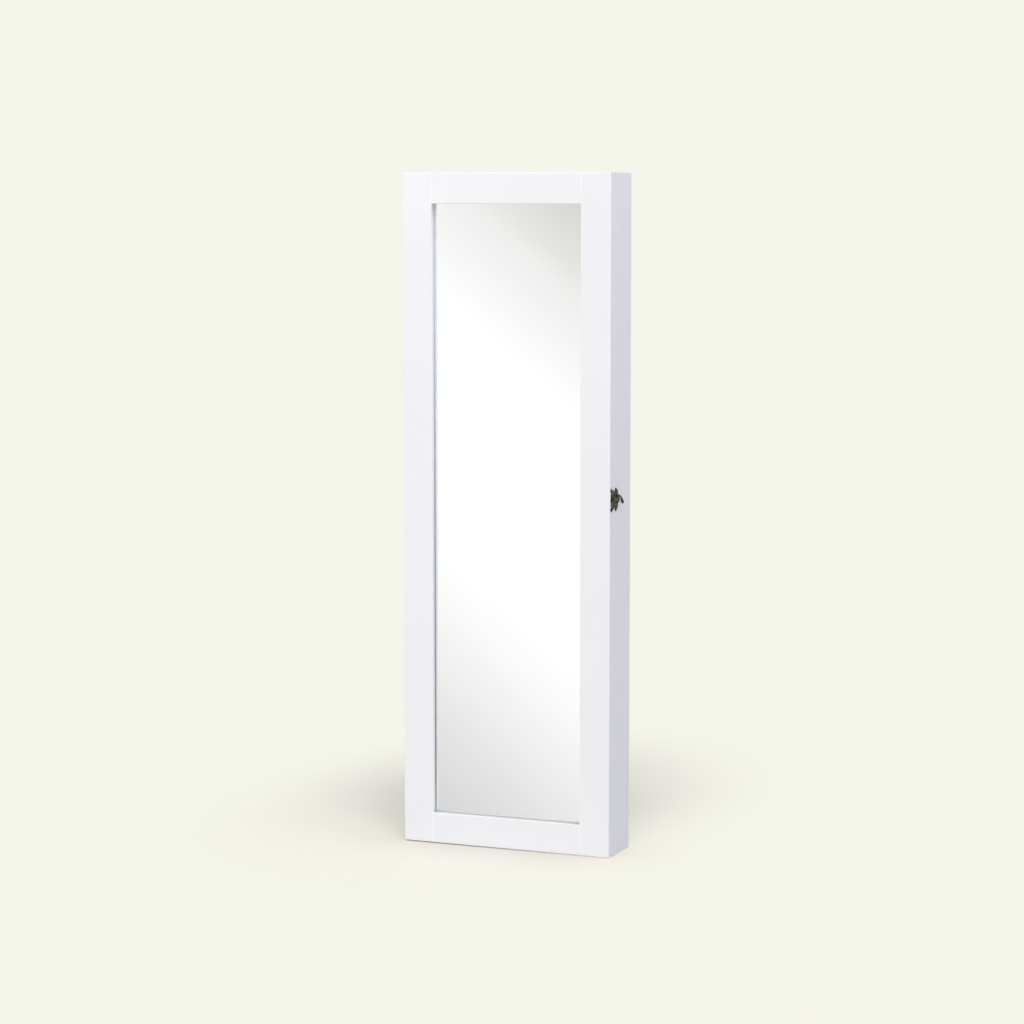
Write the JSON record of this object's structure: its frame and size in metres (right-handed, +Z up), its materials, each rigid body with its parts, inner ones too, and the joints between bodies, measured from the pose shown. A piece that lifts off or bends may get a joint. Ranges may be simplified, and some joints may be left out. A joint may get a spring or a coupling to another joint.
{
  "type": "jewelry mirror cabinet",
  "caption": "Tall, narrow wooden cabinet whose hinged door holds a full-length mirror, with a hook latch and velvet-lined bays for necklaces, rings, earrings and bracelets",
  "frame": {"origin": "middle of the cabinet's footprint, on the floor that the case stands on", "axes": "+X to the right of someone facing the mirror, +Y towards the wall, +Z up"},
  "size_m": [0.3736, 0.095, 1.1],
  "materials": {
    "painted_wood": "white satin paint on fibreboard",
    "bare_wood": "bare softwood",
    "hardboard": "brown hardboard",
    "velvet": "black velvet",
    "mirror": "silvered float glass",
    "antique_bronze": "dark antique bronze",
    "steel": "bright zinc",
    "bumper": "soft clear bumper"
  },
  "bodies": {
    "case": {"left_side_panel": "painted_wood", "right_side_panel": "painted_wood", "bottom_panel": "painted_wood", "top_panel": "painted_wood", "case_dowels": "bare_wood", "back_panel": "hardboard", "upper_hanging_rail": "bare_wood", "lower_hanging_rail": "bare_wood", "lower_shelf": "painted_wood", "upper_shelf": "painted_wood", "ring_shelf": "painted_wood", "necklace_shelf": "painted_wood", "centre_divider": "painted_wood", "necklace_lining": "velvet", "ring_lining": "velvet", "bracelet_lining": "velvet", "upper_bay_lining": "velvet", "lower_bay_lining": "velvet", "door_bumpers": "bumper", "hook_rail": "painted_wood", "necklace_hooks": "antique_bronze", "hook_rail_screws": "steel", "ring_rolls": "velvet", "earring_bar_1": "painted_wood", "earring_bar_2": "painted_wood", "earring_bar_3": "painted_wood", "earring_bar_4": "painted_wood", "bracelet_rod_cups": "antique_bronze", "rod_cup_screws": "antique_bronze", "lower_guard_rail": "antique_bronze", "upper_guard_rail": "antique_bronze", "lower_hinge_case_leaf": "antique_bronze", "middle_hinge_case_leaf": "antique_bronze", "upper_hinge_case_leaf": "antique_bronze", "hinge_pins": "antique_bronze", "hinge_case_screws": "antique_bronze", "latch_case_plate": "antique_bronze", "latch_case_pins": "antique_bronze", "latch_rivet": "antique_bronze"},
    "door": {"left_stile": "painted_wood", "right_stile": "painted_wood", "bottom_rail": "painted_wood", "top_rail": "painted_wood", "frame_dowels": "bare_wood", "mirror_glass": "mirror", "mirror_backing": "hardboard", "door_lining": "velvet", "mirror_bead_left": "painted_wood", "mirror_bead_right": "painted_wood", "mirror_bead_bottom": "painted_wood", "mirror_bead_top": "painted_wood", "bead_brads": "steel", "lower_hinge_door_leaf": "antique_bronze", "middle_hinge_door_leaf": "antique_bronze", "upper_hinge_door_leaf": "antique_bronze", "hinge_door_screws": "antique_bronze", "latch_door_plate": "antique_bronze", "latch_door_pins": "antique_bronze"},
    "latch_hook": {"latch_hook": "antique_bronze"},
    "bracelet_rod": {"bracelet_rod": "painted_wood"}
  },
  "joints": [
    {"name": "door_hinge", "type": "hinge", "parent": "case", "child": "door", "pos_m": [-0.1828, -0.028, 0.55075], "axis": [0, 0, -1], "range_deg": [0, 180]},
    {"name": "latch_hook_pivot", "type": "hinge", "parent": "case", "child": "latch_hook", "pos_m": [0.1834, -0.019, 0.5805], "axis": [-1, 0, 0], "range_deg": [0, 100]},
    {"name": "bracelet_rod_lift", "type": "slide", "parent": "case", "child": "bracelet_rod", "axis": [0, 0, 1], "range_m": [0, 0.02]}
  ]
}
